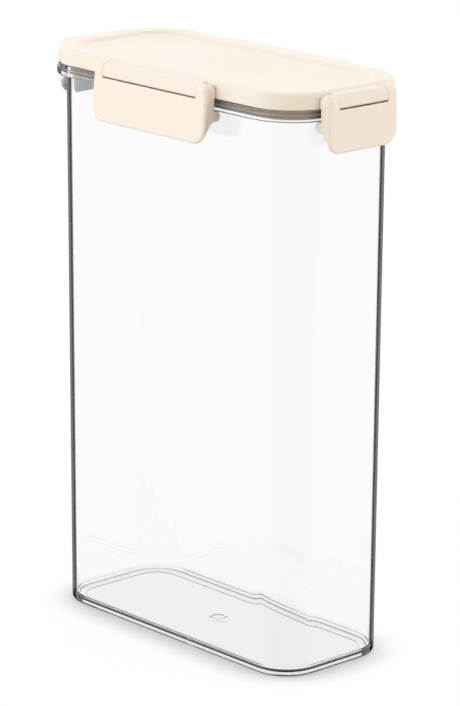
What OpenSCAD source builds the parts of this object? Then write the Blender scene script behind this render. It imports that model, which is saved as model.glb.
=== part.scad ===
// Tall clear food container with a snap-lock lid.
// A drafted, round-cornered tub with a turned-down rim carries a lid that plugs its mouth
// and seals on a silicone gasket. Four latches swing on stub pins in the lid's hinge
// barrels and hook under the tub's rim.
//
// +Z is up, +X runs along the long side and -Y is the front. The origin is at the centre
// of the base, on the surface that the container stands on. Lengths are in millimetres.

/* [Tub] */
// Length of the base, along X
base_length = 176; // [150:1:210]
// Depth of the base, along Y
base_depth = 74; // [68:1:100]
// Height of the tub, to the top of its rim
tub_height = 288.1; // [150:0.1:330]
// Radius of the upright corners at the base
base_corner_r = 20; // [18:0.1:26]
// How far each wall leans out between the base and the rim
wall_draft = 1.4; // [0.5:0.1:3]
// Thickness of the walls
wall = 2.2; // [1.6:0.1:2.6]
// Thickness of the floor at the foot ring
floor_thickness = 2.8; // [2.2:0.1:4]
// Radius inside, where the walls meet the floor
floor_fillet = 3.4; // [2:0.1:5]
// Radius outside, round the base
base_edge_r = 2.2; // [1:0.1:3]
// Width of the foot ring that the tub stands on
foot_width = 5; // [3:0.1:6]
// How far the floor is lifted inside the foot ring
foot_height = 0.7; // [0.3:0.1:1.2]
// Diameter of the moulding gate's pad in the middle of the floor
gate_d = 9.8; // [6:0.1:14]
// Height of the gate's pad
gate_height = 0.8; // [0.4:0.1:1.5]

/* [Rim] */
// How far the rim stands out past the wall
rim_overhang = 4.8; // [4.4:0.1:6.4]
// Height of the rim, to the lower edge of its skirt
rim_height = 5.6; // [4.4:0.1:7]
// Thickness of the rim above the skirt's hollow
rim_plate = 3.2; // [2.4:0.1:3.4]
// Thickness of the rim's skirt
rim_skirt = 1.7; // [1.4:0.1:2]
// How far the rim's upper part is set in from its edge
rim_step = 0.7; // [0.3:0.1:1]
// Height of the set-in part
rim_step_height = 2; // [1.2:0.1:2.4]
// Radius of the rim's outer edges
rim_edge_r = 0.4; // [0.2:0.05:0.6]

/* [Lid] */
// Height of the lid above the tub's rim
lid_height = 8.7; // [7.4:0.1:10]
// Gap between the lid's lower edge and the rim
lid_gap = 0.3; // [0.2:0.05:0.6]
// How far the lid's side stands inside the rim's edge
lid_inset = 0.7; // [0.5:0.1:1.2]
// Thickness of the lid's top
lid_plate = 1.9; // [1.5:0.1:2.4]
// Thickness of the lid's side
lid_side = 2.4; // [1.8:0.1:2.8]
// Radius of the lid's outer top edge
lid_edge_r = 2.2; // [1:0.1:3]
// Width of the raised band round the lid's top
band_width = 10.5; // [8:0.1:13]
// Depth of the panel inside the band
panel_drop = 1.5; // [0.6:0.1:1.8]
// Radius of the panel's upper and lower edges
panel_edge_r = 0.7; // [0.2:0.05:0.75]
// Depth of the plug below the rim's top
plug_depth = 5.5; // [4:0.1:7]
// Thickness of the plug's wall
plug_wall = 1.8; // [1.4:0.1:2.2]
// Clearance between the plug and the tub's wall
plug_clearance = 0.5; // [0.3:0.05:0.8]

/* [Gasket] */
// Clearance on each side of the gasket in its channel
gasket_clearance = 0.15; // [0.05:0.05:0.3]
// Height of the gasket's solid back
gasket_back = 2.5; // [1.8:0.1:3]
// Thickness of each sealing lip
gasket_lip = 1.2; // [0.8:0.1:1.6]

/* [Latches] */
// Width of the front and back latches
long_latch_width = 82.4; // [60:0.1:100]
// Width of the left and right latches
short_latch_width = 45.4; // [44:0.1:52]
// Height of a long latch below the rim's lower edge
long_latch_reach = 16.3; // [13:0.1:24]
// Height of a short latch below the rim's lower edge
short_latch_reach = 15.3; // [13:0.1:24]
// How far a latch's face stands out past the rim
latch_standoff = 6.2; // [5.2:0.1:7]
// Angle at which a latch's face leans out below the slit
latch_lean = 5; // [0:0.5:8]
// How far the top of a latch lies below the lid's top
ear_drop = 1; // [0.2:0.1:2]
// Width of the ear at each end of a latch
ear_width = 6.8; // [5.5:0.1:9]
// Thickness of a latch's face
latch_plate = 1.9; // [1.5:0.1:2.4]
// Thickness of a latch's end walls
latch_end_wall = 2.2; // [1.6:0.1:3]
// Radius of a latch's lower corners
latch_corner_r = 8; // [4:0.1:10]
// Radius of a latch's upper corners
ear_corner_r = 1.4; // [0.6:0.1:2]
// Running clearance between a latch and the lid or the rim
latch_clearance = 0.3; // [0.2:0.05:0.4]
// How far the hook reaches in under the rim
hook_reach = 3.5; // [2.5:0.1:4]
// Radius of the hook's nose
hook_r = 2.6; // [1.8:0.1:2.8]
// Thickness of the shelf that carries the hook
hook_shelf = 2.4; // [1.8:0.1:3]
// Number of stiffening ribs on a long latch
long_latch_ribs = 4; // [2:1:6]
// Number of stiffening ribs on a short latch
short_latch_ribs = 2; // [1:1:3]
// Thickness of each stiffening rib
rib_thickness = 1.6; // [1.2:0.1:2]

/* [Hinges] */
// Height of the slit between a hinge barrel and the latch's face
slit_height = 0.8; // [0.5:0.05:1]
// Depth of the slit's upper edge below the hinge's axis
slit_drop = 3.2; // [2.6:0.05:3.4]
// Radius of the latch's stub pins
pin_r = 1.6; // [1.2:0.05:1.8]
// Length of each stub pin
pin_length = 2.6; // [1.8:0.1:3]
// Radial running clearance round a pin
pin_clearance = 0.06; // [0.02:0.01:0.1]
// Number of core pockets under a long hinge barrel
long_barrel_cores = 4; // [2:1:6]
// Number of core pockets under a short hinge barrel
short_barrel_cores = 2; // [1:1:3]

/* [Hidden] */
$fn = 72;
overlap = 0.5; // how far joined solids of one piece run into each other
arc_steps = 6; // straight steps in each quarter of a profile's edge radius

// The upright corner axes. Every profile that runs round the container is drawn with its
// first coordinate measured out from these axes, and its second is the height.
axis_x = base_length / 2 - base_corner_r;
axis_y = base_depth / 2 - base_corner_r;

// Tub
rim_bottom_z = tub_height - rim_height;
mouth_r = base_corner_r + wall_draft;
rim_r = mouth_r + rim_overhang;
floor_lift_r = base_corner_r - base_edge_r - foot_width;

// Lid
lid_bottom_z = tub_height + lid_gap;
lid_top_z = tub_height + lid_height;
lid_r = rim_r - lid_inset;
panel_z = lid_top_z - panel_drop;
panel_r = lid_r - band_width;
plug_r = mouth_r - wall - plug_clearance;
channel_r = lid_r - lid_side;
channel_top_z = lid_top_z - lid_plate;

// Latches and hinges. Their profiles are drawn with the first coordinate measured out
// from the rim's edge.
lid_face = -lid_inset;
ear_r = (latch_standoff + lid_inset - latch_clearance) / 2;
pivot_out = latch_standoff - ear_r;
pivot_z = lid_top_z - ear_drop - ear_r;
plate_back = latch_standoff - latch_plate;
hook_top_z = rim_bottom_z - latch_clearance;
hook_out = hook_r - hook_reach;
slit_z = pivot_z - slit_drop - slit_height;
nose_bottom_z = hook_top_z - 2 * hook_r;
undercut_r = (plate_back - hook_out + lean_at(nose_bottom_z)) / (1 - tan(latch_lean));
barrel_r = norm([ear_r, slit_drop]);
plate_top_r = norm([ear_r, slit_drop + slit_height]);

// Points of an arc about centre, from angle a to angle b.
function arc(centre, r, a, b) =
    [for (i = [0 : arc_steps])
        let (t = a + (b - a) * i / arc_steps)
        centre + r * [cos(t), sin(t)]];

// Distance of the tub's outer wall face from the corner axes at height z.
function wall_r(z) = base_corner_r + wall_draft * min(z / rim_bottom_z, 1);

// How far the latch's face has leaned out at height z.
function lean_at(z) = (slit_z - z) * tan(latch_lean);

// The rounded rectangle at distance r from the corner axes.
module outline(r) {
    square([2 * (axis_x + r), 2 * axis_y], center = true);
    square([2 * axis_x, 2 * (axis_y + r)], center = true);
    for (x = [-axis_x, axis_x], y = [-axis_y, axis_y])
        translate([x, y]) circle(r);
}

// Carries a profile round the container: a quarter turn at each corner and a straight
// run along each side.
module carried_round() {
    for (turn = [0 : 3]) {
        across = turn % 2 == 0 ? axis_x : axis_y;
        along = turn % 2 == 0 ? axis_y : axis_x;
        rotate(90 * turn) {
            translate([across, along, 0])
                rotate_extrude(angle = 90) children();
            translate([across, along, 0])
                rotate([90, 0, 0]) linear_extrude(2 * along) children();
        }
    }
}

// Places what is drawn for the front, with x along the side and -y outwards from the
// rim's edge, on one side of the container: 0 front, 1 right, 2 back, 3 left.
module on_side(side) {
    edge = rim_r + (side % 2 == 0 ? axis_y : axis_x);
    rotate(90 * side) translate([0, -edge, 0]) children();
}

// Runs a latch or hinge profile along the side, from x = start for a length.
module along_side(start, length) {
    translate([start, 0, 0])
        rotate([90, 0, 90]) linear_extrude(length) mirror([1, 0]) children();
}

// ---- Tub ----

// Wall, floor edge, foot ring and turned-down rim, in one profile.
module tub_profile() {
    fillet_z = floor_thickness + floor_fillet;
    fillet_r = wall_r(fillet_z) - wall - floor_fillet;
    plate_z = tub_height - rim_plate;
    step_z = tub_height - rim_step_height;
    lip_r = rim_skirt / 3;
    polygon(concat(
        [[floor_lift_r - overlap, foot_height],
         [floor_lift_r, foot_height],
         [floor_lift_r + foot_height, 0]],
        arc([wall_r(base_edge_r) - base_edge_r, base_edge_r], base_edge_r, -90, 0),
        [[mouth_r, rim_bottom_z],
         [mouth_r, plate_z],
         [rim_r - rim_skirt, plate_z]],
        arc([rim_r - rim_skirt + lip_r, rim_bottom_z + lip_r], lip_r, 180, 270),
        arc([rim_r - lip_r, rim_bottom_z + lip_r], lip_r, -90, 0),
        arc([rim_r - rim_edge_r, step_z - rim_edge_r], rim_edge_r, 0, 90),
        [[rim_r - rim_step, step_z]],
        arc([rim_r - rim_step - rim_edge_r, tub_height - rim_edge_r], rim_edge_r, 0, 90),
        arc([mouth_r - wall + lip_r, tub_height - lip_r], lip_r, 90, 180),
        [[mouth_r - wall, rim_bottom_z]],
        arc([fillet_r, fillet_z], floor_fillet, 0, -90),
        [[floor_lift_r - overlap, floor_thickness]]
    ));
}

// Pad inside the floor and its recess beneath, where the plastic was fed in.
module gate_pad(r, height) {
    rotate_extrude()
        polygon([[0, -overlap], [r, -overlap], [r, height / 2], [r - height / 2, height], [0, height]]);
}

module tub() {
    color([0.86, 0.9, 0.93, 0.4])
        difference() {
            union() {
                carried_round() tub_profile();
                translate([0, 0, foot_height])
                    linear_extrude(floor_thickness - foot_height) outline(floor_lift_r);
                translate([0, 0, floor_thickness]) gate_pad(gate_d / 2, gate_height);
            }
            translate([0, 0, foot_height]) gate_pad(gate_d / 2 - wall / 2, gate_height);
        }
}

// ---- Lid ----

// Side, raised band, panel step and plug ring.
module lid_profile() {
    rounding = lid_side / 4;
    polygon(concat(
        [[panel_r - panel_edge_r - overlap, panel_z - lid_plate],
         [plug_r - plug_wall, panel_z - lid_plate],
         [plug_r - plug_wall, tub_height - plug_depth + rounding]],
        arc([plug_r - plug_wall + rounding, tub_height - plug_depth + rounding],
            rounding, 180, 270),
        arc([plug_r - rounding, tub_height - plug_depth + rounding], rounding, -90, 0),
        [[plug_r, channel_top_z],
         [channel_r, channel_top_z],
         [channel_r, lid_bottom_z]],
        arc([lid_r - rounding, lid_bottom_z + rounding], rounding, -90, 0),
        arc([lid_r - lid_edge_r, lid_top_z - lid_edge_r], lid_edge_r, 0, 90),
        arc([panel_r + panel_edge_r, lid_top_z - panel_edge_r], panel_edge_r, 90, 180),
        arc([panel_r - panel_edge_r, panel_z + panel_edge_r], panel_edge_r, 0, -90),
        [[panel_r - panel_edge_r - overlap, panel_z]]
    ));
}

// Section of the barrel that a latch swings round, with the neck that joins it to the
// lid's side. Its lower outer edge runs about the hinge's axis, so the latch clears it.
module barrel_profile() {
    intersection() {
        union() {
            translate([pivot_out, pivot_z]) circle(ear_r);
            intersection() {
                translate([pivot_out, pivot_z]) circle(barrel_r);
                translate([pivot_out, pivot_z - barrel_r]) square([ear_r, barrel_r]);
            }
            translate([lid_face - lid_side / 2, lid_bottom_z])
                square([pivot_out - lid_face + lid_side / 2, pivot_z + ear_r - lid_bottom_z]);
        }
        translate([lid_face - lid_side / 2, lid_bottom_z])
            square([latch_standoff - lid_face + lid_side / 2, lid_height]);
    }
}

// Pockets that keep the barrel's plastic thin, open below.
module barrel_cores(barrel_width, count) {
    end = pin_length + latch_plate;
    pitch = (barrel_width - 2 * end + rib_thickness) / count;
    for (i = [0 : count - 1])
        translate([-barrel_width / 2 + end + i * pitch, -pivot_out - ear_r / 3, 0])
            translate([0, 0, lid_bottom_z - overlap])
                cube([pitch - rib_thickness, ear_r, pivot_z - lid_bottom_z + overlap]);
}

module hinge_barrel(latch_width, cores) {
    barrel_width = latch_width - 2 * (ear_width + latch_clearance);
    difference() {
        along_side(-barrel_width / 2, barrel_width) barrel_profile();
        barrel_cores(barrel_width, cores);
        for (end = [-1, 1])
            translate([end * barrel_width / 2, -pivot_out, pivot_z])
                rotate([0, -90 * end, 0])
                    translate([0, 0, -overlap])
                        cylinder(r = pin_r + pin_clearance, h = pin_length + overlap);
    }
}

module lid() {
    color("#f8eddf") {
        carried_round() lid_profile();
        translate([0, 0, panel_z - lid_plate])
            linear_extrude(lid_plate) outline(panel_r - panel_edge_r);
        for (side = [0, 2])
            on_side(side) hinge_barrel(long_latch_width, long_barrel_cores);
        for (side = [1, 3])
            on_side(side) hinge_barrel(short_latch_width, short_barrel_cores);
    }
}

// ---- Gasket ----

// A solid back held in the lid's channel, with two lips that stand on the rim.
module gasket_profile() {
    inner = plug_r + gasket_clearance;
    outer = channel_r - gasket_clearance;
    back_z = channel_top_z - gasket_back;
    polygon([
        [inner, channel_top_z], [inner, tub_height], [inner + gasket_lip, tub_height],
        [inner + gasket_lip, back_z], [outer - gasket_lip, back_z],
        [outer - gasket_lip, tub_height], [outer, tub_height], [outer, channel_top_z]
    ]);
}

module lid_gasket() {
    color("#e9e6e0") carried_round() gasket_profile();
}

// ---- Latches ----

// Section through the hook: its nose, and the shelf that ties it to the latch's face.
module hook_profile() {
    translate([hook_out, hook_top_z - hook_r]) circle(hook_r);
    translate([hook_out, hook_top_z - hook_shelf])
        square([plate_back + lean_at(hook_top_z - hook_shelf) - hook_out + overlap, hook_shelf]);
}

// Section of a latch's face: upright beside the slit, leaning out below it.
module face_profile(bottom_z) {
    lean = lean_at(bottom_z);
    polygon([
        [plate_back, pivot_z], [latch_standoff, pivot_z], [latch_standoff, slit_z],
        [latch_standoff + lean, bottom_z], [plate_back + lean, bottom_z], [plate_back, slit_z]
    ]);
}

// Section of an end wall or rib from the hook down: a quarter-round hollow runs from the
// hook's nose to the back of the face.
module web_profile() {
    hollow_z = nose_bottom_z - undercut_r;
    difference() {
        polygon([
            [hook_out, hook_top_z], [hook_out, hollow_z],
            [plate_back + lean_at(hollow_z) + overlap, hollow_z],
            [plate_back + lean_at(hook_top_z) + overlap, hook_top_z]
        ]);
        translate([hook_out, hollow_z]) circle(undercut_r);
    }
    translate([hook_out, hook_top_z - hook_r]) circle(hook_r);
}

// Section of an ear: round about the pin, close to the lid's side above the rim and
// close to the rim's edge beside it.
module ear_profile() {
    step_z = lid_bottom_z + latch_clearance;
    translate([pivot_out, pivot_z]) circle(ear_r);
    translate([pivot_out - ear_r, step_z]) square([2 * ear_r, pivot_z - step_z]);
    translate([latch_clearance, hook_top_z - overlap])
        square([latch_standoff - latch_clearance, step_z - hook_top_z + 2 * overlap]);
}

// Section of a stiffening rib beside the rim, above the shelf.
module rib_profile() {
    translate([latch_clearance, hook_top_z - overlap])
        square([plate_back + lean_at(hook_top_z) - latch_clearance + overlap,
                pivot_z - barrel_r - hook_top_z]);
}

// The latch seen from outside, with its rounded corners.
module latch_face(width, bottom_z) {
    top_z = pivot_z + ear_r;
    hull() {
        for (end = [-1, 1]) {
            translate([end * (width / 2 - latch_corner_r), bottom_z + latch_corner_r])
                circle(latch_corner_r);
            translate([end * (width / 2 - ear_corner_r), top_z - ear_corner_r])
                circle(ear_corner_r);
        }
    }
}

module latch(width, reach, ribs) {
    bottom_z = rim_bottom_z - reach;
    inner = width / 2 - ear_width;
    pitch = 2 * inner / (ribs + 1);
    face_out = latch_standoff + lean_at(bottom_z);
    intersection() {
        union() {
            difference() {
                along_side(-width / 2, width) face_profile(bottom_z);
                translate([-inner, -pivot_out, pivot_z])
                    rotate([0, 90, 0]) cylinder(r = plate_top_r, h = 2 * inner);
            }
            along_side(-width / 2, width) hook_profile();
            for (end = [-1, 1]) {
                along_side(end * width / 2 - (end > 0 ? ear_width : 0), ear_width)
                    ear_profile();
                along_side(end * width / 2 - (end > 0 ? latch_end_wall : 0), latch_end_wall)
                    web_profile();
            }
            for (i = [1 : ribs]) {
                rib_x = -inner + i * pitch - rib_thickness / 2;
                along_side(rib_x, rib_thickness) web_profile();
                along_side(rib_x, rib_thickness) rib_profile();
            }
        }
        translate([0, overlap + hook_reach, 0])
            rotate([90, 0, 0]) linear_extrude(face_out + hook_reach + 2 * overlap)
                latch_face(width, bottom_z);
    }
    for (end = [-1, 1])
        translate([end * (inner + overlap), -pivot_out, pivot_z])
            rotate([0, -90 * end, 0]) cylinder(r = pin_r, h = pin_length + overlap);
}

module latch_on(side) {
    long = side % 2 == 0;
    color("#fbefe1") on_side(side)
        latch(long ? long_latch_width : short_latch_width,
              long ? long_latch_reach : short_latch_reach,
              long ? long_latch_ribs : short_latch_ribs);
}

module latch_front() { latch_on(0); }
module latch_right() { latch_on(1); }
module latch_back() { latch_on(2); }
module latch_left() { latch_on(3); }

tub();
lid();
lid_gasket();
latch_front();
latch_back();
latch_left();
latch_right();
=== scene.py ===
"""A tall clear food container with a cream lid and four latches that hook under its rim.

Every piece is a surface worked out from a section: a line drawn in two coordinates, how far out it
lies and how high it is. The tub, lid and gasket carry their section once round the container. A
hinge barrel and a latch run theirs along one side.
"""
import math
from typing import NamedTuple

import bmesh
import bpy
import numpy as np
from mathutils import Matrix, Vector


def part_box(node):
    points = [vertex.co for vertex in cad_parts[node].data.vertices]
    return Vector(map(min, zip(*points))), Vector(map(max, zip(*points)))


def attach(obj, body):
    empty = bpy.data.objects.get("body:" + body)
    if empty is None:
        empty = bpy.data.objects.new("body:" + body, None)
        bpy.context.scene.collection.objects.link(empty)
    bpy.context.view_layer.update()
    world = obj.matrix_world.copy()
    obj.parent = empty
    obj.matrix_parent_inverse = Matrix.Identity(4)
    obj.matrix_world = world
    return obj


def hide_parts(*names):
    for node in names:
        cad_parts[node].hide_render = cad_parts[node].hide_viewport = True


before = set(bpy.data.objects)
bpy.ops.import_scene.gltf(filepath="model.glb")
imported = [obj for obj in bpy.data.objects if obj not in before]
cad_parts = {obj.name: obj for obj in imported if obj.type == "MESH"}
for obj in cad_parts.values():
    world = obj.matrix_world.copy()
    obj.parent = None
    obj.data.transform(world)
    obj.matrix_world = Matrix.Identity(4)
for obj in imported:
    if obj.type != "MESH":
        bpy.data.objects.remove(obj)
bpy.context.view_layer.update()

MM = 0.001

# ---- Sizes, in millimetres ----

tub_high = np.array(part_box("tub")[1]) / MM
TUB_H = tub_high[2]
RIM_R = 26.2                # corner radius of the rim
AXES = tub_high[:2] - RIM_R     # the upright corner axes
BASE_R = 20.0               # corner radius of the base
DRAFT = 1.4                 # how far the wall leans out between base and rim
MOUTH_R = BASE_R + DRAFT
WALL = 2.2
FLOOR = 2.8                 # thickness of the floor at the foot ring
FLOOR_FILLET = 2.8
BASE_EDGE = 2.2
FOOT_W, FOOT_H = 6.2, 0.9   # the foot ring
FOOT_LEAN, FOOT_EDGE = 0.2, 0.3     # how far its inner side leans, and its radii
GATE_R, GATE_H = 4.9, 0.8   # the moulding gate's pad in the middle of the floor
GATE_LEAN = 0.15            # how far the pad's side leans in
RECESS_R = GATE_R - 1.1     # the recess under the pad
RIM_H = 5.6
RIM_PLATE = 3.2
RIM_SKIRT = 1.7
RIM_STEP, RIM_STEP_H = 0.7, 2.0
RIM_LIP, RIM_EDGE, RIM_CORNER = 0.55, 0.4, 0.25     # radii of the rim's lips, edges and step
RIM_Z = TUB_H - RIM_H       # lower edge of the rim
EASE, EASE_TURN = 5.0, 0.12     # length and turn of the gentle start of each corner

LID_Z, LID_TOP = TUB_H + 0.3, TUB_H + 8.7
LID_R = RIM_R - 0.7
LID_EDGE = 2.2
PANEL_R, PANEL_Z = LID_R - 10.5, LID_TOP - 1.5
PANEL_SLOPE, PANEL_BEND = 0.8, 1.8  # half width of the panel's sloping edge, and its radii
PANEL_IN = PANEL_R - 4      # where the panel is flat and its middle is filled
LID_PLATE = 1.9
CHANNEL_R, CHANNEL_Z = LID_R - 2.4, LID_TOP - LID_PLATE
PLUG_R = MOUTH_R - 2.7
PLUG_WALL = 1.8
PLUG_Z = TUB_H - 5.5
GASKET_GAP = 0.15           # play between the gasket and the walls of its channel
GASKET_LIP, GASKET_BACK = 1.2, 2.5  # width of a lip, and thickness of the solid back

EAR_R = 3.3                 # radius of a latch's ear about the hinge's axis
FACE = 6.2                  # how far a latch's face stands out past the rim
PIVOT = (FACE - EAR_R, LID_TOP - 1.0 - EAR_R)   # the hinge's axis: out from the rim, and up
PLATE = 1.9                 # thickness of a latch's face
PLATE_BACK = FACE - PLATE
END_WALL = 2.2
LOWER_R = 8.0               # radius of a latch's lower corners
CLEAR = 0.3                 # gap between a latch and the rim or the lid
HOOK_R = 2.6
HOOK_Z = RIM_Z - CLEAR      # top of the hook
HOOK_OUT = HOOK_R - 3.5
HEEL_Z = HOOK_Z + 2.8       # about half way up the inner side between hook and lid
SHELF = 2.4
RIB = 1.6
SLIT_Z = PIVOT[1] - 4.1     # lower edge of the slit, where the face starts to lean
NOSE_Z = HOOK_Z - 2 * HOOK_R
WEB_Z = NOSE_Z - 6.8        # where an end wall or rib meets the back of the face
WEB_FLAT, WEB_BEND = 2.4, 2.5   # level start of that wall's lower edge, and the radius after it
WEB_RISE = 0.4              # the least that the wall ends above the latch's own lower edge
RIB_TOP = SLIT_Z - 1.2
PLATE_TOP_R = math.hypot(EAR_R, PIVOT[1] - SLIT_Z)
FACE_EDGE = (1.6, 1.5)      # width and depth of the face's rounded edge near its lower end
EAR_EDGE = (2.4, 2.2)       # and at the ears
EDGE_BLEND = 7.0            # height over which the one turns into the other
BACK_EDGE = 0.4             # width and depth of the rounded edges at the back
THINNEST = 0.3              # least thickness left at the face's edges
BEVEL = (0.1, 0.2)          # depth and height of the bevel behind the face's lower edge
CLOSER = 0.32               # the lower part of the face, where its points lie closer together

EAR_GAP = 0.12              # play between an ear and its barrel
PIN_R, PIN_LENGTH, PIN_PLAY = 1.6, 2.6, 0.06
PIN_ROOT, PIN_EDGE = 0.5, 0.3   # how deep a pin starts inside its ear, and its rounded end
BARREL_SOFT = 1.3           # radius of the barrel's lower outer edge
BARREL_FILLET = 1.2         # radius between the barrel's top and the lid's edge
BARREL_EDGE = 0.25          # rounded edge of the barrel's ends
NECK = 1.2                  # how deep the barrel's neck reaches into the lid's side


class LatchSize(NamedTuple):
    width: float    # along its side
    ear: float      # width of each ear
    depth: float    # how far it hangs below the rim
    ribs: int
    lean: float     # how far its face leans out in a millimetre down
    cores: int      # core pockets in its hinge barrel
    slit: float     # height of the slit between barrel and face


LONG = LatchSize(width=83.8, ear=7.4, depth=16.3, ribs=4, lean=0.0875, cores=4, slit=1.0)
SHORT = LatchSize(width=46.2, ear=6.9, depth=15.6, ribs=2, lean=0.0, cores=2, slit=1.2)
LATCHES = {"front": LONG, "right": SHORT, "back": LONG, "left": SHORT}


# ---- Meshes ----

def mesh_piece(name, verts, faces, material, normals=None, merge=0.0):
    """A mesh object in metres from points in millimetres.

    Each face corner takes the normal given for it. Without normals, edges sharper than 40 degrees
    stay sharp and the rest shade by the areas of their faces. merge closes points that lie within
    that distance.
    """
    mesh = bpy.data.meshes.new(name)
    mesh.from_pydata((np.asarray(verts) * MM).tolist(), [], faces)
    if merge:
        shell = bmesh.new()
        shell.from_mesh(mesh)
        bmesh.ops.remove_doubles(shell, verts=shell.verts, dist=merge * MM)
        bmesh.ops.dissolve_degenerate(shell, edges=shell.edges, dist=merge * MM)
        shell.to_mesh(mesh)
        shell.free()
    mesh.shade_smooth()
    mesh.materials.append(material)
    piece = bpy.data.objects.new(name, mesh)
    bpy.context.scene.collection.objects.link(piece)
    if normals is None:
        mesh.set_sharp_from_angle(angle=math.radians(40))
        even = piece.modifiers.new("even_shading", "WEIGHTED_NORMAL")
        even.keep_sharp = True
        even.weight = 100
    else:
        mesh.normals_split_custom_set(normals)
    return piece


def rounded(corners, steps=8):
    """A section through corners, each (out, up, radius), with each corner turned into an arc.

    The arc of radius r touches both sides of its corner, at r * tan(turn / 2) from it. Returns the
    points, and for each straight or round step the normals at its two ends. A normal is the
    direction of travel turned a quarter turn to the left, so the plastic lies on the right.
    """
    at = np.array([c[:2] for c in corners], float)
    points, starts, ends = [at[0]], [], []

    def step(to, n0, n1):
        points.append(to)
        starts.append(n0)
        ends.append(n1)

    for i in range(1, len(at)):
        along = (at[i] - at[i - 1]) / np.linalg.norm(at[i] - at[i - 1])
        left = np.array([-along[1], along[0]])
        radius = corners[i][2]
        if i == len(at) - 1 or radius == 0:
            step(at[i], left, left)
            continue
        onward = at[i + 1] - at[i]
        turn = math.atan2(along[0] * onward[1] - along[1] * onward[0], along @ onward)
        step(at[i] - radius * abs(math.tan(turn / 2)) * along, left, left)
        side = math.copysign(radius, turn)
        centre = points[-1] + side * left
        last = left
        for t in np.linspace(0, turn, steps + 1)[1:]:
            c, s = math.cos(t), math.sin(t)
            normal = np.array([c * left[0] - s * left[1], s * left[0] + c * left[1]])
            step(centre - side * normal, last, normal)
            last = normal
    return np.array(points), np.array(starts), np.array(ends)


def corner_path(steps=44, easing=10):
    """The path of the corner axes once round the container, and the outward direction on it.

    At u from 0 to 1 along the gentle start of a corner, the direction has turned by
    EASE_TURN * u^2 and the axis has moved EASE * (2u - u^2) along it, so a wall that lies r out
    bends with a radius that falls evenly to r. Between two gentle parts the axis stands still. The
    sides between the corners are straight.
    """
    u = np.linspace(0, 1, easing + 1)
    turn = EASE_TURN * u ** 2
    moved = np.diff(EASE * (2 * u - u ** 2))
    middle = (turn[1:] + turn[:-1]) / 2
    sway = np.concatenate([[0], np.cumsum(moved * np.sin(middle))])
    gone = np.concatenate([[0], np.cumsum(moved * np.cos(middle))])
    still = np.linspace(EASE_TURN, math.pi / 2 - EASE_TURN, steps + 1)[1:-1]
    # one corner, from a side along +Y to a side along -X, about its own axis
    axis = np.concatenate([
        np.stack([-sway, gone - gone[-1] - sway[-1]], 1),
        np.full((len(still), 2), -sway[-1]),
        np.stack([gone - gone[-1] - sway[-1], -sway], 1)[::-1]])
    turns = np.concatenate([turn, still, math.pi / 2 - turn[::-1]])
    centres, wheels = [], []
    for k in range(4):
        c, s = math.cos(k * math.pi / 2), math.sin(k * math.pi / 2)
        quarter = np.array([[c, s], [-s, c]])
        corner = np.array([[1, 1], [-1, 1], [-1, -1], [1, -1]])[k] * AXES
        centres.append(corner + axis @ quarter)
        wheels.append(np.stack([np.cos(turns), np.sin(turns)], 1) @ quarter)
    return np.concatenate(centres), np.concatenate(wheels)


def carried_round(section, circles=(), closed=False):
    """Carries a section once round the container.

    A point that lies r out and z up is at (axis + r * outward, z) for each step of corner_path.
    The rings with an index in circles are circles about the middle instead, at
    (r * (cos b, sin b), z), with b shared out evenly. An open section's first and last ring are
    filled flat; a closed one ends where it starts. Returns points, faces and corner normals.
    """
    points, starts, ends = section
    centre, wheel = corner_path()
    count = len(wheel)
    even = np.arange(count) * 2 * math.pi / count
    disc = np.stack([np.cos(even), np.sin(even)], 1)
    if closed:
        points = points[:-1]
    rings = len(points)
    circle = np.isin(np.arange(rings), [ring % rings for ring in circles])[:, None, None]
    spin = np.where(circle, disc, wheel)
    flat = np.where(circle, 0, centre) + points[:, 0, None, None] * spin
    verts = np.dstack([flat, np.broadcast_to(points[:, 1, None], flat.shape[:2])]).reshape(-1, 3)
    j, i = np.meshgrid(np.arange(len(starts)), np.arange(count), indexing="ij")
    m, k = (j + 1) % rings, (i + 1) % count
    quads = np.stack([j * count + i, m * count + i, m * count + k, j * count + k], -1)
    faces = quads.reshape(-1, 4).tolist()

    def tilted(normal, row, column):
        out = normal[j, 0][..., None] * spin[row, column]
        return np.concatenate([out, normal[j, 1][..., None]], -1)

    normals = np.stack([tilted(starts, j, i), tilted(ends, m, i),
                        tilted(ends, m, k), tilted(starts, j, k)], 2).reshape(-1, 3)
    if not closed:
        faces.append(list(range(count)))
        faces.append(list(range(len(verts) - 1, len(verts) - count - 1, -1)))
        normals = np.concatenate([normals, np.tile([0, 0, starts[0, 1]], (count, 1)),
                                  np.tile([0, 0, ends[-1, 1]], (count, 1))])
    return verts, faces, normals


def lofted(rings):
    """Faces that join a stack of closed rings, shape (rings, points, 3), with both ends filled."""
    count, around = rings.shape[:2]
    j, i = np.meshgrid(np.arange(count - 1), np.arange(around), indexing="ij")
    k = (i + 1) % around
    quads = np.stack([j * around + i, (j + 1) * around + i,
                      (j + 1) * around + k, j * around + k], -1)
    faces = quads.reshape(-1, 4).tolist()
    faces.append(list(range(around)))
    faces.append(list(range(count * around - 1, (count - 1) * around - 1, -1)))
    return rings.reshape(-1, 3), faces


def run_along(stack):
    """A shell lofted through sections (out, up), each paired with its place along the side."""
    return lofted(np.array([np.column_stack([np.full(len(ring), x), ring]) for x, ring in stack]))


def joined(shells):
    """Several closed shells as one list of points and one of faces."""
    verts, faces, first = [], [], 0
    for points, polygons in shells:
        verts.append(points)
        faces += [[first + v for v in polygon] for polygon in polygons]
        first += len(points)
    return np.concatenate(verts), faces


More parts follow.
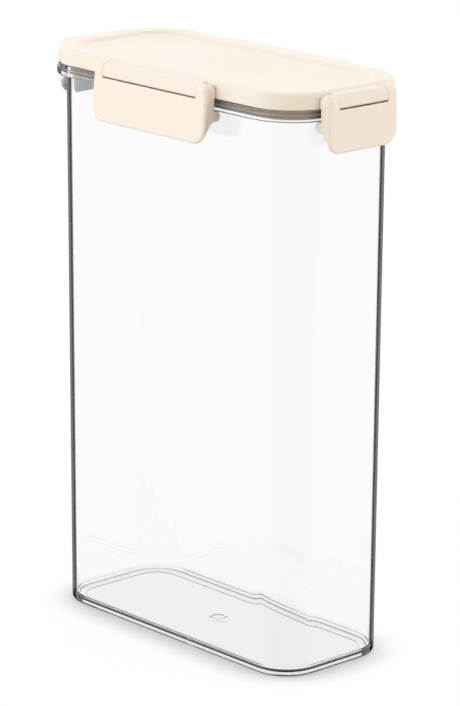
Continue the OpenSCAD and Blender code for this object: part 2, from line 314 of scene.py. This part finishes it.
def on_side(points, side):
    """Turns (along, out, up) points of one side into place, out measured from the rim's edge."""
    quarter = ("front", "right", "back", "left").index(side)
    edge = (AXES[1] if quarter % 2 == 0 else AXES[0]) + RIM_R
    x, y = points[..., 0], -(edge + points[..., 1])
    c, s = math.cos(quarter * math.pi / 2), math.sin(quarter * math.pi / 2)
    return np.stack([c * x - s * y, s * x + c * y, points[..., 2]], -1)


def arc(centre, radius, start, end, count):
    """Points (out, up) on an arc, angles in degrees from the outward direction."""
    t = np.radians(np.linspace(start, end, count))
    return np.stack([centre[0] + radius * np.cos(t), centre[1] + radius * np.sin(t)], -1)


def line(*corners, counts):
    """Points (out, up) along straight runs, counts[i] of them on run i without its last point."""
    runs = [np.linspace(a, b, n, endpoint=False) for a, b, n in zip(corners, corners[1:], counts)]
    return np.concatenate(runs)


# ---- Sections carried round the container ----

def tub_section():
    """Round the tub's plastic: gate pad, floor, wall, rim, outer wall, foot ring, underside."""
    lift_r = BASE_R - BASE_EDGE - FOOT_W
    lean = DRAFT * FLOOR / RIM_Z
    return rounded([
        (GATE_R - GATE_LEAN, FLOOR + GATE_H, 0),
        (GATE_R, FLOOR, 0),
        (BASE_R + lean - WALL, FLOOR, FLOOR_FILLET),
        (MOUTH_R - WALL, RIM_Z, 0),
        (MOUTH_R - WALL, TUB_H, RIM_LIP),
        (RIM_R - RIM_STEP, TUB_H, RIM_EDGE),
        (RIM_R - RIM_STEP, TUB_H - RIM_STEP_H, RIM_CORNER),
        (RIM_R, TUB_H - RIM_STEP_H, RIM_EDGE),
        (RIM_R, RIM_Z, RIM_LIP),
        (RIM_R - RIM_SKIRT, RIM_Z, RIM_LIP),
        (RIM_R - RIM_SKIRT, TUB_H - RIM_PLATE, RIM_EDGE),
        (MOUTH_R, TUB_H - RIM_PLATE, RIM_EDGE),
        (MOUTH_R, RIM_Z, 0),
        (BASE_R, 0, BASE_EDGE),
        (lift_r + FOOT_LEAN, 0, FOOT_EDGE),
        (lift_r, FOOT_H, FOOT_EDGE),
        (RECESS_R, FOOT_H, 0),
        (RECESS_R - GATE_LEAN, FOOT_H + GATE_H, 0),
    ])


def lid_section():
    """Panel, its sloping edge, raised band, side, gasket channel, plug and panel's underside."""
    return rounded([
        (PANEL_IN, PANEL_Z, 0),
        (PANEL_R - PANEL_SLOPE, PANEL_Z, PANEL_BEND),
        (PANEL_R + PANEL_SLOPE, LID_TOP, PANEL_BEND),
        (LID_R, LID_TOP, LID_EDGE),
        (LID_R, LID_Z, 0.5),
        (CHANNEL_R, LID_Z, 0.3),
        (CHANNEL_R, CHANNEL_Z, 0.4),
        (PLUG_R, CHANNEL_Z, 0.4),
        (PLUG_R, PLUG_Z, 0.5),
        (PLUG_R - PLUG_WALL, PLUG_Z, 0.5),
        (PLUG_R - PLUG_WALL, PANEL_Z - LID_PLATE, 0.8),
        (PANEL_IN, PANEL_Z - LID_PLATE, 0),
    ])


def gasket_section():
    """A solid back in the channel and two lips that stand on the rim, closed on itself."""
    inner, outer = PLUG_R + GASKET_GAP, CHANNEL_R - GASKET_GAP
    back = CHANNEL_Z - GASKET_BACK
    middle = (inner + outer) / 2
    return rounded([
        (middle, CHANNEL_Z, 0),
        (outer, CHANNEL_Z, 0.4),
        (outer, TUB_H, 0.4),
        (outer - GASKET_LIP, TUB_H, 0.4),
        (outer - GASKET_LIP, back, 0.6),
        (inner + GASKET_LIP, back, 0.6),
        (inner + GASKET_LIP, TUB_H, 0.4),
        (inner, TUB_H, 0.4),
        (inner, CHANNEL_Z, 0.4),
        (middle, CHANNEL_Z, 0),
    ], steps=5)


# ---- Hinge barrels and latches ----

def hinge_barrel(size):
    """The barrel that a latch swings round, and the neck that joins it to the lid's side.

    Its section follows the ear's circle above and runs about the hinge's axis below. An arc that
    touches both joins them round the lower outer edge, and a fillet carries the top up into the
    lid's edge. Core pockets are rings whose bottom run is lifted to the axis. At each end the
    section closes in to the pin's hole.
    """
    half = size.width / 2 - size.ear - EAR_GAP
    lower_r = math.hypot(EAR_R, PIVOT[1] - SLIT_Z - size.slit)
    low = math.degrees(math.acos((PIVOT[1] - LID_Z) / lower_r)) - 90
    toe = PIVOT[0] + lower_r * math.cos(math.radians(low))
    soft_turn = math.acos((EAR_R - BARREL_SOFT) / (lower_r - BARREL_SOFT))
    soft_centre = (FACE - BARREL_SOFT, PIVOT[1] - (lower_r - BARREL_SOFT) * math.sin(soft_turn))
    lid_centre = np.array([LID_R - RIM_R - LID_EDGE, LID_TOP - LID_EDGE])
    rise = PIVOT[1] + EAR_R + BARREL_FILLET
    climb = rise - lid_centre[1]
    foot = lid_centre[0] + math.sqrt((LID_EDGE + BARREL_FILLET) ** 2 - climb ** 2)
    meet = 180 + math.degrees(math.atan2(climb, foot - lid_centre[0]))
    neck = LID_R - RIM_R - NECK
    pocket_out = PIVOT[0] + EAR_R / 3
    pocket_in = pocket_out - EAR_R

    def section(inset=0.0, lift=0.0):
        bottom = LID_Z + inset
        return np.concatenate([
            line((neck, bottom), (pocket_in, bottom), (pocket_in, bottom + lift),
                 (pocket_out, bottom + lift), (pocket_out, bottom), (toe, bottom),
                 counts=(2, 1, 3, 1, 2)),
            arc(PIVOT, lower_r - inset, low, -math.degrees(soft_turn), 5)[:-1],
            arc(soft_centre, BARREL_SOFT - inset, -math.degrees(soft_turn), 0, 8),
            [(FACE - inset, (soft_centre[1] + PIVOT[1]) / 2)],
            arc(PIVOT, EAR_R - inset, 0, 90, 14),
            arc((foot, rise), BARREL_FILLET + inset, 270, meet, 8),
            line((neck, lid_centre[1] + LID_EDGE / 2), (neck, bottom), counts=(4,)),
        ])

    whole, cored = section(), section(lift=PIVOT[1] - LID_Z)
    around = whole - PIVOT
    hole = PIVOT + (PIN_R + PIN_PLAY) * around / np.linalg.norm(around, axis=1)[:, None]
    midway = BARREL_EDGE * 0.3
    ends = [(half - PIN_LENGTH, hole), (half, hole), (half, section(BARREL_EDGE)),
            (half - midway, section(midway)), (half - BARREL_EDGE, whole)]
    solid = PIN_LENGTH + PLATE
    pitch = (2 * half - 2 * solid + RIB) / size.cores
    stack = [(-x, ring) for x, ring in ends]
    for core in range(size.cores):
        start = -half + solid + core * pitch
        end = start + pitch - RIB
        stack += [(start, whole), (start, cored), (end, cored), (end, whole)]
    return run_along(stack + ends[::-1])


def edge_fall(distance, width, depth):
    """How far a rounded edge has fallen back at a distance in from the outline.

    A quarter ellipse: depth * (1 - sqrt(1 - (1 - distance / width)^2)), and nothing past width.
    """
    inward = np.clip(1 - distance / width, 0, 1)
    return depth * (1 - np.sqrt(1 - inward ** 2))


def leaned(points, lean):
    """Points (out, up) of a latch, moved out by lean * (SLIT_Z - up) where up is below SLIT_Z."""
    points = np.array(points, float)
    points[:, 0] += lean * np.clip(SLIT_Z - points[:, 1], 0, None)
    return points


def latch_section(size, x, ear, web, rib):
    """The closed section of a latch at x along its side, in order: face, ear, back, hook, hollow.

    The lower corners lift the bottom by r - sqrt(r^2 - (r - d)^2) at d from the end. The face falls
    back by edge_fall of its distance from the outline, and the ear's circle shrinks by the same.
    Where there is no ear, its points lie on the curve that clears the hinge barrel.
    """
    lean = size.lean
    bottom = RIM_Z - size.depth
    d = size.width / 2 - abs(x)
    near = max(LOWER_R - d, 0.0)
    floor_z = bottom + LOWER_R - math.sqrt(LOWER_R ** 2 - near ** 2)
    web_z = max(WEB_Z, floor_z + WEB_RISE)
    side = edge_fall(d, *EAR_EDGE)
    back = edge_fall(d, BACK_EDGE, BACK_EDGE)
    skin = min(PLATE_BACK + back, FACE - edge_fall(d, *FACE_EDGE) - THINNEST)

    # the face, from its lower edge up to the slit
    share = 1 - np.cos(np.linspace(0, math.pi / 2, 16))
    share = np.concatenate([share[:-1] * CLOSER, np.linspace(CLOSER, 1, 6)])
    z = floor_z + (SLIT_Z - floor_z) * share
    corner = np.hypot(near, np.clip(LOWER_R - (z - bottom), 0, None))
    distance = np.where((z - bottom < LOWER_R) & (d < LOWER_R), LOWER_R - corner,
                        np.minimum(d, z - bottom))
    upper = np.clip((z - SLIT_Z) / EDGE_BLEND + 1, 0, 1)
    edge = [low + (high - low) * upper for low, high in zip(FACE_EDGE, EAR_EDGE)]
    face = leaned(np.stack([FACE - edge_fall(distance, *edge), z], -1), lean)

    # the ear, or the plate's top between the ears, and the inner side down to the hook
    if ear:
        shrink = back + (side - back) * np.clip(np.linspace(2, 0, 23), 0, 1)
        head = np.concatenate([
            line((FACE - side, SLIT_Z), (FACE - side, PIVOT[1]), counts=(4,))[1:],
            arc(PIVOT, EAR_R - shrink, 0, 180, 23)])
        inner = CLEAR + back
        heel = [(PIVOT[0] - EAR_R + back, LID_Z + inner), (inner, LID_Z + inner),
                (inner, HEEL_Z), (inner, HOOK_Z - back)]
    else:
        start = -math.degrees(math.acos(EAR_R / PLATE_TOP_R))
        stop = -math.degrees(math.acos((PLATE_BACK - PIVOT[0]) / PLATE_TOP_R))
        head = arc(PIVOT, PLATE_TOP_R, start, stop, 27)[1:]
        if rib:
            heel = [(PLATE_BACK, RIB_TOP), (CLEAR, RIB_TOP), (CLEAR, HEEL_Z), (CLEAR, HOOK_Z)]
        else:
            plate_back = [(PLATE_BACK, z) for z in (HEEL_Z + 1, HEEL_Z - 0.5, HOOK_Z)]
            heel = np.concatenate([leaned(plate_back, lean), [(CLEAR, HOOK_Z)]])

    # the hook's nose, and below it the web's slanting edge or the shelf and the plate's back
    nose_z = HOOK_Z - HOOK_R
    nose = arc((HOOK_OUT, nose_z), HOOK_R - back, 90, 270, 15)
    if web:
        level = NOSE_Z + back
        foot = leaned([(skin, web_z)], lean)[0]
        under = rounded([(HOOK_OUT, level, 0), (HOOK_OUT + WEB_FLAT, level, WEB_BEND),
                         (*foot, 0)], steps=10)[0][1:]
    else:
        stop = 360 - math.degrees(math.asin((SHELF - HOOK_R) / HOOK_R))
        plate_back = np.linspace((PLATE_BACK, HOOK_Z - SHELF), (PLATE_BACK, web_z), 6)
        under = np.concatenate([arc((HOOK_OUT, nose_z), HOOK_R, 270, stop, 7)[1:],
                                leaned(plate_back, lean)])
    low = floor_z + BEVEL[1]
    plate = leaned([(skin, (web_z + low) / 2), (skin, low), (skin + BEVEL[0], floor_z)], lean)
    return np.concatenate([face, head, heel, nose, under, plate])


def latch(size):
    """A latch: its sections run from end to end, with a step wherever an ear, web or rib starts."""
    half = size.width / 2
    inner, wall = half - size.ear, half - END_WALL
    curve = half - LOWER_R * (1 - np.cos(np.linspace(0, math.pi / 2, 14)))
    plain = (False, False, False)
    right = [(x, True, True, False) for x in curve if x > wall]
    right += [(wall, True, True, False), (wall, True, False, False)]
    right += [(x, True, False, False) for x in curve if inner < x < wall]
    right += [(inner, True, False, False), (inner, *plain)]
    right += [(x, *plain) for x in curve if x < inner]
    stack = [(-x, *kind) for x, *kind in right]
    for rib in range(1, size.ribs + 1):
        start = -inner + rib * 2 * inner / (size.ribs + 1) - RIB / 2
        end = start + RIB
        stack += [(start, *plain), (start, False, True, True),
                  (end, False, True, True), (end, *plain)]
    stack += right[::-1]
    shells = [run_along([(x, latch_section(size, x, *kind)) for x, *kind in stack])]
    along = np.array([PIN_ROOT, PIN_EDGE - PIN_LENGTH, PIN_EDGE / 3 - PIN_LENGTH, -PIN_LENGTH])
    radii = PIN_R - np.array([0, 0, PIN_EDGE / 3, PIN_EDGE])
    for end in (-1, 1):
        pin = [(end * (inner + x), arc(PIVOT, r, 0, 360, 33)[:-1]) for x, r in zip(along, radii)]
        shells.append(run_along(pin[::-end]))
    return joined(shells)


# ---- Materials ----

def linear(hex_colour):
    """The linear colour of an sRGB hex value."""
    parts = [int(hex_colour[k:k + 2], 16) / 255 for k in (0, 2, 4)]
    return [p / 12.92 if p <= 0.04045 else ((p + 0.055) / 1.055) ** 2.4 for p in parts] + [1]


def add(tree, kind, values):
    """Adds one node and returns its outputs. A value is a property, a fixed input or a link."""
    node = tree.nodes.new(kind)
    for key, value in values.items():
        if isinstance(value, bpy.types.NodeSocket):
            tree.links.new(value, node.inputs[key])
        elif isinstance(key, str) and key not in node.inputs:
            setattr(node, key, value)
        else:
            node.inputs[key].default_value = value
    return node.outputs


def new_material(name):
    material = bpy.data.materials.new(name)
    material.use_nodes = True
    material.node_tree.nodes.clear()
    return material, material.node_tree


def clear_styrene():
    """Styrene-acrylonitrile, injection-moulded in a polished mould: water-clear, hard and glossy.

    The polish leaves sharp reflections and clear edges. The melt's shrinkage leaves the walls very
    slightly wavy, and its flow up from the gate in the floor draws those waves out upwards.
    """
    material, tree = new_material("clear_styrene")
    where = add(tree, "ShaderNodeTexCoord", {})["Object"]
    drawn_out = add(tree, "ShaderNodeMapping", {"Scale": (1, 1, 0.25), "Vector": where})
    waves = add(tree, "ShaderNodeTexNoise", {
        "Scale": 1 / (22 * MM), "Detail": 1.0, "Vector": drawn_out[0]})
    wavy = add(tree, "ShaderNodeBump", {
        "Strength": 1.0, "Distance": 0.012 * MM, "Height": waves[0]})
    # handling leaves the outside a little less bright than the mould did
    wear = add(tree, "ShaderNodeTexNoise", {"Scale": 1 / (9 * MM), "Detail": 3.0, "Vector": where})
    haze = add(tree, "ShaderNodeMapRange", {
        "From Min": 0.45, "From Max": 0.75, "To Min": 0.0, "To Max": 0.006, "Value": wear[0]})
    shader = add(tree, "ShaderNodeBsdfPrincipled", {
        "Base Color": linear("FFFFFF"), "IOR": 1.57, "Transmission Weight": 1.0,
        "Roughness": haze[0], "Normal": wavy[0]})
    add(tree, "ShaderNodeOutputMaterial", {"Surface": shader[0]})
    return material


def cream_polypropylene():
    """Polypropylene coloured in the melt, injection-moulded in a spark-eroded mould: a satin skin.

    The eroded steel prints a fine grain, which spreads each highlight. Cooling unevenly, the skin
    varies a little in gloss and shade. Painted shade: in gaps an ambient occlusion node mixes a
    darker, warmer cream into the base colour, standing in for light that bounces between cream
    walls.
    """
    material, tree = new_material("cream_polypropylene")
    where = add(tree, "ShaderNodeTexCoord", {})["Object"]
    # the real grain is about 0.1 mm across, too fine to be drawn, so it is drawn at 0.6 mm
    grain = add(tree, "ShaderNodeTexNoise", {
        "Scale": 1 / (0.6 * MM), "Detail": 2.0, "Vector": where})
    grained = add(tree, "ShaderNodeBump", {
        "Strength": 0.35, "Distance": 0.02 * MM, "Height": grain[0]})
    skin = add(tree, "ShaderNodeTexNoise", {"Scale": 1 / (35 * MM), "Detail": 3.0, "Vector": where})
    gloss = add(tree, "ShaderNodeMapRange", {
        "From Min": 0.3, "From Max": 0.7, "To Min": 0.34, "To Max": 0.44, "Value": skin[0]})
    shade = add(tree, "ShaderNodeMix", {
        "data_type": "RGBA", 0: skin[0], 6: linear("FCF5EB"), 7: linear("FAF2E6")})
    # painted shade: where ambient occlusion finds a gap, the base colour turns darker and warmer
    openness = add(tree, "ShaderNodeAmbientOcclusion", {"samples": 8, "Distance": 3.5 * MM})
    outside = add(tree, "ShaderNodeMapRange", {
        "interpolation_type": "SMOOTHSTEP", "From Min": 0.0, "From Max": 0.5,
        "Value": openness["AO"]})
    # DDBB8A is the painted gap shade, a darker and warmer cream laid into the base colour
    painted_gap_shade = add(tree, "ShaderNodeMix", {
        "data_type": "RGBA", 0: outside[0], 6: linear("DDBB8A"), 7: shade[2]})
    shader = add(tree, "ShaderNodeBsdfPrincipled", {
        "IOR": 1.49, "Base Color": painted_gap_shade[2], "Roughness": gloss[0], "Normal": grained[0]})
    add(tree, "ShaderNodeOutputMaterial", {"Surface": shader[0]})
    return material


def white_silicone():
    """Silicone rubber, compression-moulded: a soft, milky white that light sinks into.

    Its matt skin picks up dust, so it is a little uneven in shade and in gloss.
    """
    material, tree = new_material("white_silicone")
    where = add(tree, "ShaderNodeTexCoord", {})["Object"]
    dust = add(tree, "ShaderNodeTexNoise", {"Scale": 1 / (4 * MM), "Detail": 4.0, "Vector": where})
    shade = add(tree, "ShaderNodeMix", {
        "data_type": "RGBA", 0: dust[0], 6: linear("F1EFEA"), 7: linear("E4E1D9")})
    gloss = add(tree, "ShaderNodeMapRange", {
        "From Min": 0.3, "From Max": 0.7, "To Min": 0.45, "To Max": 0.6, "Value": dust[0]})
    skin = add(tree, "ShaderNodeBump", {"Strength": 0.3, "Distance": 0.03 * MM, "Height": dust[0]})
    shader = add(tree, "ShaderNodeBsdfPrincipled", {
        "IOR": 1.41, "Subsurface Weight": 0.25, "Subsurface Radius": (2, 1.9, 1.8),
        "Subsurface Scale": MM, "Base Color": shade[2], "Roughness": gloss[0], "Normal": skin[0]})
    add(tree, "ShaderNodeOutputMaterial", {"Surface": shader[0]})
    return material


# ---- Pieces ----

def place(piece, node, body):
    """Hides the CAD node that a piece replaces and attaches the piece to the body it rides on."""
    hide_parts(node)
    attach(piece, body)


clear = clear_styrene()
cream = cream_polypropylene()
rubber = white_silicone()

# the two rings at either end of the tub's section are the round gate pad and its recess
verts, faces, normals = carried_round(tub_section(), circles=(0, 1, -2, -1))
place(mesh_piece("clear_tub", verts, faces, clear, normals), "tub", "tub")

verts, faces, normals = carried_round(lid_section())
plate = mesh_piece("lid_plate", verts, faces, cream, normals)
barrels = []
for side, size in LATCHES.items():
    verts, faces = hinge_barrel(size)
    barrels.append((on_side(verts, side), faces))
barrel_piece = mesh_piece("hinge_barrels", *joined(barrels), cream, merge=0.001)
place(plate, "lid", "lid")
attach(barrel_piece, "lid")

verts, faces, normals = carried_round(gasket_section(), closed=True)
place(mesh_piece("seal_ring", verts, faces, rubber, normals), "lid_gasket", "lid")

for side, size in LATCHES.items():
    verts, faces = latch(size)
    piece = mesh_piece("snap_latch_" + side, on_side(verts, side), faces, cream, merge=0.001)
    place(piece, "latch_" + side, "latch_" + side)


# ---- Stage ----

TOWARDS = Vector((0.737, -0.676, 0))    # level, from the container towards the camera
SHADE_SIDE = Vector((0.85, -0.53, 0))   # level, towards the middle of the studio's unlit side
KEY = (2.22, 2.22, 2.22, 1)             # the studio's white screens, left and right
OVERHEAD = (0.8, 0.8, 0.8, 1)           # its white ceiling
FILL = (0.64, 0.47, 0.3, 1)             # its unlit, wood-floored side, where the camera stands
GLIMPSE = (0.24, 0.23, 0.25, 1)         # the dim room past the screens, seen in upright edges
BLACK = (0.01, 0.01, 0.012, 1)          # and the black drapes at both its sides
THROUGH = (0.75, 0.85, 1.05, 1)         # the light that reaches cream plastic through clear
WHITE = (1, 1, 1, 1)
OFF_WHITE = (0.8, 0.79, 0.78, 1)        # the white that is left after many walls

# cosines from the middle of each part of the studio at which it starts to show and shows in full
UNLIT = (0.35, 0.85)
CEILING = (0.1, 0.8)
GAP = (0.60, 0.66)                      # the gap between the screens, behind the container
ROOM = (0.78, 0.90)                     # the room between the drapes in that gap
BELOW = (0.0, 0.1)

TABLE_REACH = 12.0                      # metres
TABLE_DROP = 0.2 * MM                   # keeps the table's top clear of the foot
TABLE_PAINT = (0.08, 0.08, 0.08, 1)     # the part of its white that takes the studio's light
TABLE_BOUNCE = (0.8, 0.8, 0.8, 1)       # the white that lights the container from below
# how far from the container the painted shadow on the table reaches
PAINTED_SHADOW_REACH = 26 * MM


def laid_over(tree, base, layers):
    """Colours laid over a base in turn, each as far as the product of its shares says."""
    for *shares, colour in layers:
        share = shares[0]
        for other in shares[1:]:
            share = add(tree, "ShaderNodeMath", {"operation": "MULTIPLY", 0: share, 1: other})[0]
        base = add(tree, "ShaderNodeMix", {"data_type": "RGBA", 0: share, 6: base, 7: colour})[2]
    return base


def ray_kinds(tree):
    """1 or 0 for each thing that has happened to a ray: lit a surface, was mirrored, went into
    clear plastic, stayed outside it, and passed few of its surfaces or several."""
    path = add(tree, "ShaderNodeLightPath", {})
    limits = {
        "lighting": ("Diffuse Depth", "GREATER_THAN", 0.5),
        "mirrored": ("Glossy Depth", "GREATER_THAN", 0.5),
        "entered": ("Transmission Depth", "GREATER_THAN", 0.5),
        "outside": ("Transmission Depth", "LESS_THAN", 0.5),
        "few": ("Transmission Depth", "LESS_THAN", 3.5),
        "several": ("Transmission Depth", "GREATER_THAN", 2.5),
    }
    return {name: add(tree, "ShaderNodeMath", {"operation": operation, 0: path[depth], 1: limit})[0]
            for name, (depth, operation, limit) in limits.items()}


def facing(tree, direction, towards, limits):
    """How far one direction points towards another, from 0 at limits[0] to 1 at limits[1]."""
    cosine = add(tree, "ShaderNodeVectorMath", {
        "operation": "DOT_PRODUCT", 0: direction, 1: towards})
    return add(tree, "ShaderNodeMapRange", {
        "interpolation_type": "SMOOTHSTEP", "From Min": limits[0], "From Max": limits[1],
        "Value": cosine["Value"]})[0]


def studio():
    """The world: one look for the light on a surface, others for what clear walls mirror."""
    world = bpy.data.worlds.new("studio")
    bpy.context.scene.world = world
    world.use_nodes = True
    world.cycles.sampling_method = "NONE"
    tree = world.node_tree
    tree.nodes.clear()
    ray = ray_kinds(tree)
    direction = add(tree, "ShaderNodeTexCoord", {})["Generated"]
    level = add(tree, "ShaderNodeVectorMath", {"operation": "MULTIPLY", 0: direction, 1: (1, 1, 0)})
    level = add(tree, "ShaderNodeVectorMath", {"operation": "NORMALIZE", 0: level[0]})[0]
    unlit = facing(tree, direction, SHADE_SIDE, UNLIT)
    ceiling = facing(tree, direction, (0, 0, 1), CEILING)
    below = facing(tree, direction, (0, 0, -1), BELOW)
    gap = facing(tree, level, -TOWARDS, GAP)

    light = laid_over(tree, KEY, [(ceiling, OVERHEAD), (unlit, FILL), (ray["entered"], THROUGH)])
    room = laid_over(tree, BLACK, [(facing(tree, level, -TOWARDS, ROOM), GLIMPSE)])
    shine = laid_over(tree, WHITE, [(unlit, FILL), (below, gap, room)])
    inside = (ray["mirrored"], ray["entered"], ray["few"])
    colour = laid_over(tree, WHITE, [
        (*inside, ray["several"], OFF_WHITE), (*inside, gap, room),
        (ray["mirrored"], ray["outside"], shine), (ray["lighting"], light)])
    back = add(tree, "ShaderNodeBackground", {"Strength": 1.0, "Color": colour})
    add(tree, "ShaderNodeOutputWorld", {"Surface": back[0]})


def white_table():
    """The white table's paint, which glows a little so that it stays white round the shadow. That
    shadow is painted: ambient occlusion dims the glow near the container, also where the table is
    seen through clear.

    Mirrored rays pass it, so a clear wall shows what stands behind the table. From below it is not
    there, so the container's underside can be seen.
    """
    material, tree = new_material("white_table")
    material.cycles.emission_sampling = "NONE"
    ray = ray_kinds(tree)
    openness = add(tree, "ShaderNodeAmbientOcclusion", {
        "samples": 8, "Distance": PAINTED_SHADOW_REACH})["AO"]
    # painted shadow: the glow is dimmed where ambient occlusion finds the container close
    painted_shadow = add(tree, "ShaderNodeMapRange", {
        "interpolation_type": "SMOOTHSTEP", "From Min": 0.4, "From Max": 0.92,
        "To Min": 0.56, "To Max": 0.94, "Value": openness})
    # painted shadow under the tub, seen through clear: a dimmer glow where the table is closed in
    under = add(tree, "ShaderNodeMapRange", {
        "interpolation_type": "SMOOTHSTEP", "From Min": 0.0, "From Max": 1.0,
        "To Min": 0.79, "To Max": 0.955, "Value": openness})
    paint = add(tree, "ShaderNodeBsdfDiffuse", {"Color": TABLE_PAINT})
    glow = add(tree, "ShaderNodeEmission", {"Color": WHITE, "Strength": painted_shadow[0]})
    look = add(tree, "ShaderNodeAddShader", {0: paint[0], 1: glow[0]})
    through = add(tree, "ShaderNodeEmission", {"Color": WHITE, "Strength": under[0]})
    past = add(tree, "ShaderNodeBsdfTransparent", {})
    bounce = add(tree, "ShaderNodeBsdfDiffuse", {"Color": TABLE_BOUNCE})
    passing = add(tree, "ShaderNodeMath", {
        "operation": "MULTIPLY", 0: ray["mirrored"], 1: ray["few"]})[0]
    backfacing = add(tree, "ShaderNodeNewGeometry", {})["Backfacing"]
    for share, layer in ((ray["entered"], through), (passing, past),
                         (ray["lighting"], bounce), (backfacing, past)):
        look = add(tree, "ShaderNodeMixShader", {0: share, 1: look[0], 2: layer[0]})
    add(tree, "ShaderNodeOutputMaterial", {"Surface": look[0]})
    return material


def table():
    mesh = bpy.data.meshes.new("table")
    corners = TABLE_REACH * np.array([(-1, -1, 0), (1, -1, 0), (1, 1, 0), (-1, 1, 0)])
    mesh.from_pydata(corners.tolist(), [], [(0, 1, 2, 3)])
    mesh.materials.append(white_table())
    top = bpy.data.objects.new("table", mesh)
    bpy.context.scene.collection.objects.link(top)
    top.location.z = -TABLE_DROP


studio()
table()

# ---- Camera ----

scene = bpy.context.scene
scene.view_settings.view_transform = "Standard"

# where the camera stands, in metres, and its three directions
EYE = Vector((1.27772006836, -1.16374349058, 0.62572569485))
RIGHT = Vector((0.67395737, 0.73874511, 0.0060933))
UP = Vector((-0.20199522, 0.17633415, 0.96338165))
AHEAD = Vector((-0.71061902, 0.65050898, -0.26806468))
FOCAL, FRAME_H = 3524.79, 706   # pixels
SENSOR = 36     # mm

data = bpy.data.cameras.new("camera")
data.sensor_width = SENSOR
data.lens = FOCAL / FRAME_H * SENSOR
data.clip_end = 100
camera = bpy.data.objects.new("camera", data)
scene.collection.objects.link(camera)
turn = Matrix((RIGHT, UP, -AHEAD)).transposed()
camera.matrix_world = Matrix.Translation(EYE) @ turn.to_4x4()
scene.camera = camera
